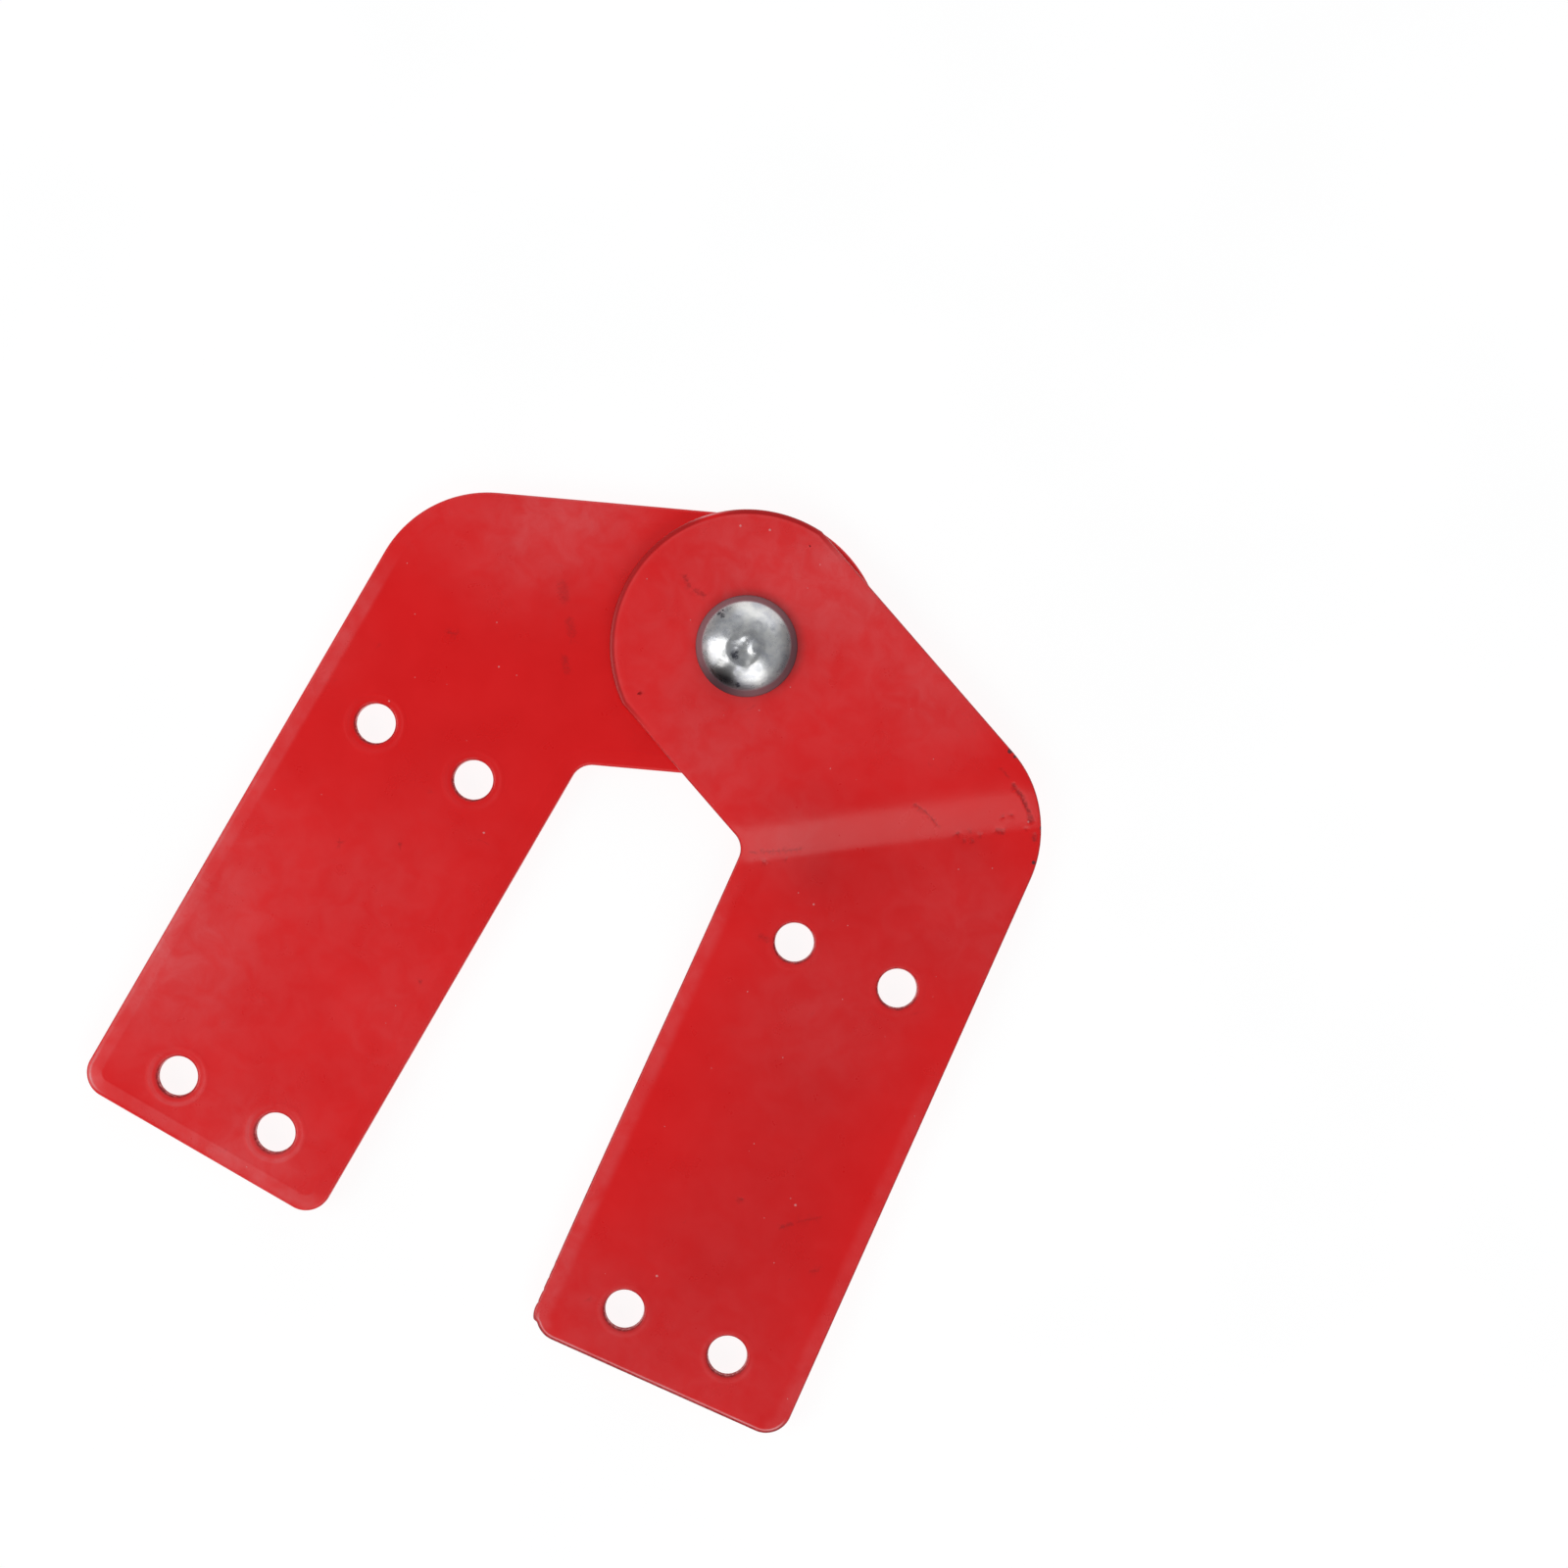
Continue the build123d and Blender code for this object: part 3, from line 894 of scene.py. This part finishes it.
class Graph:
    """A material's nodes, made and joined by short calls."""

    def __init__(self, name):
        self.material = bpy.data.materials.new(name)
        self.material.use_nodes = True
        self.tree = self.material.node_tree
        self.tree.nodes.clear()

    def node(self, kind, settings=None, **inputs):
        """A node of a kind with its settings, and inputs given as values or as other nodes' outputs.

        An input is named as its socket is, with _ for a space, or i0, i1 and so on for its number.
        """
        made = self.tree.nodes.new(kind)
        for key, value in (settings or {}).items():
            setattr(made, key, value)
        for key, value in inputs.items():
            numbered = key[0] == "i" and key[1:].isdigit()
            socket = made.inputs[int(key[1:]) if numbered else key.replace("_", " ")]
            if isinstance(value, bpy.types.NodeSocket):
                self.tree.links.new(value, socket)
            else:
                socket.default_value = value
        return made

    def place(self):
        return self.node("ShaderNodeTexCoord").outputs["Object"]

    def noise(self, size_mm, detail=2.0, roughness=0.5, distortion=0.0):
        """Noise from 0 to 1 whose blobs are about size_mm across."""
        made = self.node("ShaderNodeTexNoise", None, Vector=self.place(), Scale=1 / (size_mm * MM),
                         Detail=detail, Roughness=roughness, Distortion=distortion)
        return made.outputs["Fac"]

    def ramp(self, value, low, high, start=0.0, end=1.0):
        """Value mapped smoothly from low..high to start..end."""
        made = self.node("ShaderNodeMapRange", {"interpolation_type": "SMOOTHSTEP"}, Value=value)
        for key, number in zip(("From Min", "From Max", "To Min", "To Max"), (low, high, start, end)):
            made.inputs[key].default_value = number
        return made.outputs["Result"]

    def math(self, operation, a, b=0.0):
        return self.node("ShaderNodeMath", {"operation": operation}, i0=a, i1=b).outputs[0]

    def vector(self, operation, a, b=(0, 0, 0)):
        return self.node("ShaderNodeVectorMath", {"operation": operation}, i0=a, i1=b).outputs

    def mix(self, share, a, b):
        """Colour a where the share is 0, and b where it is 1."""
        made = self.node("ShaderNodeMix", {"data_type": "RGBA"})
        for index, value in ((0, share), (6, a), (7, b)):
            if isinstance(value, bpy.types.NodeSocket):
                self.tree.links.new(value, made.inputs[index])
            else:
                made.inputs[index].default_value = value
        return made.outputs[2]

    def attribute(self, name):
        return self.node("ShaderNodeAttribute", {"attribute_name": name}).outputs["Fac"]

    def bump(self, height, distance_mm, below=None):
        """A bumpy normal, on top of the one below it."""
        made = self.node("ShaderNodeBump", None, Height=height, Strength=1.0, Distance=distance_mm * MM)
        if below:
            self.tree.links.new(below, made.inputs["Normal"])
        return made.outputs["Normal"]

    def finish(self, **inputs):
        """The material, once its shader has these inputs."""
        shader = self.node("ShaderNodeBsdfPrincipled", None, **inputs)
        self.node("ShaderNodeOutputMaterial", None, Surface=shader.outputs[0])
        return self.material


def specks(graph, spacing_mm, radius_mm, share):
    """Mask of scattered round specks: one in some of the cells of a loose grid."""
    cells = graph.node("ShaderNodeTexVoronoi", None, Vector=graph.place(), Scale=1 / (spacing_mm * MM),
                       Randomness=1.0)
    edge = radius_mm / spacing_mm
    near = graph.ramp(cells.outputs["Distance"], 0.6 * edge, edge, 1, 0)
    draw = graph.node("ShaderNodeSeparateColor", None, Color=cells.outputs["Color"]).outputs[0]
    return graph.math("MULTIPLY", near, graph.math("LESS_THAN", draw, share))


def head_shade(graph):
    """How much painted shadow falls just round the rivet's head, and more of it on one side."""
    turn = VIEW_TURN + HEAD_SHADE_HEADING
    arm = graph.vector("SUBTRACT", graph.place(), (PIVOT.x * MM, PIVOT.y * MM, 0))["Vector"]
    flat = graph.vector("MULTIPLY", arm, (1, 1, 0))["Vector"]
    reach = graph.vector("LENGTH", flat)["Value"]
    along = graph.vector("DOT_PRODUCT", flat, (cos(turn), sin(turn), 0))["Value"]
    near = graph.ramp(reach, HEAD_SHADE_REACH[0] * MM, HEAD_SHADE_REACH[1] * MM, 1, 0)
    depth = graph.ramp(graph.math("DIVIDE", along, reach), -0.6, 0.9, 0.06, 0.46)
    return graph.math("MULTIPLY", near, depth)


def red_paint():
    # Glossy red enamel over steel: soft mottling, darker patches, painted shadow round the rivet's head,
    # painted sheen and highlights, orange peel, dust, grime with painted shade, and bare worn edges.
    """Glossy red enamel over steel: soft mottling, darker patches, painted shadow round the rivet's head,
    painted sheen and highlights, orange peel, dust, grime with painted shade, and bare worn edges.
    """
    graph = Graph("red_enamel")
    colour = graph.mix(graph.ramp(graph.noise(14, 3, 0.55), 0.3, 0.7), PAINT_MOTTLE, PAINT_RED)
    # darker patches and painted shade
    colour = graph.mix(graph.attribute("darker_and_shade"), colour, DARK_RED_AND_SHADE)
    # painted shadow round the rivet's head
    colour = graph.mix(head_shade(graph), colour, DARK_RED_AND_SHADE)
    cloud = graph.ramp(graph.noise(5, 4, 0.6, 0.5), 0.25, 0.75, 0.050, 0.130)
    # painted sheen and painted highlights, broken up by cloudy noise
    colour = graph.mix(graph.math("MULTIPLY", graph.attribute("painted_sheen"), cloud), colour, PAINTED_SHEEN_PINK)
    smudge = graph.ramp(graph.noise(5, 5, 0.65, 0.6), 0.66, 0.80, 0, 0.25)
    colour = graph.mix(smudge, colour, DIRT_AND_SHADE)
    dust = graph.math("MAXIMUM", specks(graph, 5.5, 0.26, 0.30), specks(graph, 2.7, 0.13, 0.25))
    colour = graph.mix(graph.math("MULTIPLY", dust, 0.55), colour, DUST)
    grain = graph.ramp(graph.noise(0.6, 3, 0.6), 0.35, 0.62, 0.4, 1)
    dirt = graph.math("MULTIPLY", graph.attribute("dirt"), grain)
    # dirt of the marks and grime, and painted shade on the edges and in the holes
    colour = graph.mix(dirt, colour, DIRT_AND_SHADE)
    ragged = graph.ramp(graph.noise(1.4, 3, 0.6), 0.3, 0.6, 0.5, 1)
    worn = graph.math("MULTIPLY", graph.attribute("bare"), ragged)
    bare = graph.ramp(worn, 0.35, 0.6)
    colour = graph.mix(bare, colour, BARE_STEEL)
    gloss = graph.ramp(graph.noise(7, 4, 0.6), 0.3, 0.7, 0.27, 0.33)
    rough = graph.math("MAXIMUM", gloss, graph.math("MULTIPLY", graph.math("MAXIMUM", dirt, smudge), 0.9))
    normal = graph.bump(graph.noise(1.4, 2, 0.5), 0.009)
    normal = graph.bump(graph.noise(0.28, 2, 0.5), 0.0012, normal)
    normal = graph.bump(dust, 0.03, normal)
    return graph.finish(Base_Color=colour, Roughness=rough, Metallic=graph.math("MULTIPLY", bare, 0.3),
                        Specular_IOR_Level=0.4, Normal=normal)


def rivet_steel():
    """Bright zinc-plated steel: cloudy plating, hammer scuffs and fine scratches, with a dull skirt carrying
    a painted red reflection, and painted dark reflections.
    """
    graph = Graph("bright_zinc")
    cloud = graph.ramp(graph.noise(3.2, 4, 0.6, 0.4), 0.3, 0.7)
    colour = graph.mix(cloud, GREY_ZINC, PALE_ZINC)
    scuff = graph.ramp(graph.noise(0.9, 5, 0.7, 1.2), 0.60, 0.78)
    colour = graph.mix(graph.math("MULTIPLY", scuff, 0.28), colour, SCUFFED)
    dull_and_painted_reflection = graph.attribute("dull_and_painted_reflection")
    # dull skirt with a painted red reflection
    colour = graph.mix(dull_and_painted_reflection, colour, SKIRT_RED_REFLECTION)
    # painted dark reflections on two sides of the head
    colour = graph.mix(graph.attribute("painted_dark_reflection"), colour, DARK_REFLECTION_BLACK)
    grain = graph.ramp(graph.noise(0.5, 3, 0.6), 0.3, 0.6, 0.5, 1)
    spots = graph.math("MULTIPLY", graph.attribute("dirt"), grain)
    streaks = graph.ramp(graph.noise(0.45, 4, 0.7, 2.0), 0.42, 0.62, 1, 0.35)
    spots = graph.math("MULTIPLY", graph.ramp(spots, 0.10, 0.55), streaks)
    colour = graph.mix(spots, colour, RIVET_DIRT)
    rough = graph.ramp(graph.noise(1.6, 5, 0.65, 0.5), 0.25, 0.75, 0.24, 0.34)
    rough = graph.math("MAXIMUM", rough, graph.math("MULTIPLY", dull_and_painted_reflection, 0.5))
    normal = graph.bump(graph.noise(2.0, 3, 0.5, 0.5), 0.026)
    normal = graph.bump(graph.noise(0.5, 3, 0.6, 0.8), 0.003, normal)
    metal = graph.ramp(dull_and_painted_reflection, 0, 1, 1, 0.25)
    return graph.finish(Base_Color=colour, Roughness=rough, Metallic=metal, Normal=normal)


def floor_paper():
    """White paper that glows, so that shadows on it stay pale."""
    graph = Graph("white_paper")
    tone = graph.ramp(graph.noise(60, 2, 0.5), 0.3, 0.7)
    colour = graph.mix(tone, PAPER_DARK, PAPER_PALE)
    white = (1, 1, 1, 1)
    return graph.finish(Base_Color=colour, Roughness=0.9, Emission_Color=white, Emission_Strength=0.91)


# Studio ---------------------------------------------------------------------------------------------------

VIEW_OFFSET = (17.64, -19.40)       # middle of the view from the rivet, millimetres
VIEW_WIDTH = 289.0                  # width of the view at the top of the legs, millimetres
CAMERA_DISTANCE = 700.0             # millimetres above the legs
ROOM_WALLS = 0.48
ROOM_CEILING = 0.30


def add_camera():
    """The photo's camera, straight above the legs, with its roll."""
    data = bpy.data.cameras.new("camera")
    camera = bpy.data.objects.new("camera", data)
    data.sensor_width = 36.0
    data.lens = data.sensor_width * CAMERA_DISTANCE / VIEW_WIDTH
    data.clip_start = 0.01
    height = BACK_UNDER + SHEET + CAMERA_DISTANCE
    camera.location = Vector((PIVOT.x + VIEW_OFFSET[0], PIVOT.y + VIEW_OFFSET[1], height)) * MM
    camera.rotation_euler = (0, 0, VIEW_TURN)
    bpy.context.scene.collection.objects.link(camera)
    bpy.context.scene.camera = camera


def add_softbox(name, heading, lean, distance, size, radiance):
    """A square softbox: heading in degrees anticlockwise from the view's right, lean from the vertical."""
    data = bpy.data.lights.new(name, "AREA")
    data.shape = "RECTANGLE"
    data.size, data.size_y = size
    data.energy = radiance * pi * size[0] * size[1]
    box = bpy.data.objects.new(name, data)
    turn, tilt = radians(heading) + VIEW_TURN, radians(lean)
    towards = Vector((cos(turn) * sin(tilt), sin(turn) * sin(tilt), cos(tilt)))
    box.location = towards * distance
    box.rotation_euler = towards.to_track_quat("Z", "Y").to_euler()
    bpy.context.scene.collection.objects.link(box)


def add_world():
    """A plain room: dim straight above, paler all round, dimmer low down, and dark on one low side."""
    world = bpy.data.worlds.new("studio")
    bpy.context.scene.world = world
    world.use_nodes = True
    tree = world.node_tree
    background = tree.nodes["Background"]
    background.inputs["Color"].default_value = (0.95, 0.97, 1.0, 1)
    direction = tree.nodes.new("ShaderNodeTexCoord").outputs["Generated"]

    def share(heading, lean, wide, narrow, low, high):
        """Goes from low to high as the direction comes from wide to within narrow degrees of a given one."""
        turn, tilt = radians(heading) + VIEW_TURN, radians(lean)
        facing = tree.nodes.new("ShaderNodeVectorMath")
        facing.operation = "DOT_PRODUCT"
        facing.inputs[1].default_value = (cos(turn) * sin(tilt), sin(turn) * sin(tilt), cos(tilt))
        tree.links.new(direction, facing.inputs[0])
        mapped = tree.nodes.new("ShaderNodeMapRange")
        mapped.interpolation_type = "SMOOTHSTEP"
        mapped.inputs["From Min"].default_value = cos(radians(wide))
        mapped.inputs["From Max"].default_value = cos(radians(narrow))
        mapped.inputs["To Min"].default_value = low
        mapped.inputs["To Max"].default_value = high
        tree.links.new(facing.outputs["Value"], mapped.inputs["Value"])
        return mapped.outputs["Result"]

    def times(first, second):
        product = tree.nodes.new("ShaderNodeMath")
        product.operation = "MULTIPLY"
        tree.links.new(first, product.inputs[0])
        tree.links.new(second, product.inputs[1])
        return product.outputs[0]

    room = times(share(0, 0, 42, 12, ROOM_WALLS, ROOM_CEILING), share(0, 0, 92, 58, 0.35, 1.0))
    strength = times(room, share(230, 80, 56, 32, 1.0, 0.06))
    tree.links.new(strength, background.inputs["Strength"])


def add_studio():
    """Three softboxes and a dim room."""
    add_softbox("softbox_near", 279, 51, 1.3, (1.1, 1.0), 1.5)
    add_softbox("softbox_left", 187, 53, 1.3, (0.95, 1.05), 2.1)
    add_softbox("softbox_far", 70, 73, 1.6, (2.2, 1.1), 0.8)
    add_world()
    bpy.context.scene.view_settings.view_transform = "Standard"


def add_floor():
    bm = bmesh.new()
    bmesh.ops.create_grid(bm, x_segments=8, y_segments=8, size=3.0)
    floor = link_mesh("floor", bm)
    floor.data.materials.append(floor_paper())


# Assembly -------------------------------------------------------------------------------------------------

def fit(piece, material, node, body):
    """Gives a piece its material and slot, and puts it in the place of its CAD node."""
    piece.data.materials.append(material)
    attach(piece, body)
    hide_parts(node)


paint = red_paint()
fit(make_arm("back_arm_painted", "back"), paint, "back_arm", "back_arm")
fit(make_arm("front_arm_painted", "front"), paint, "front_arm", "front_arm")
fit(make_rivet("rivet_hammered"), rivet_steel(), "rivet", "back_arm")
add_floor()
add_studio()
add_camera()
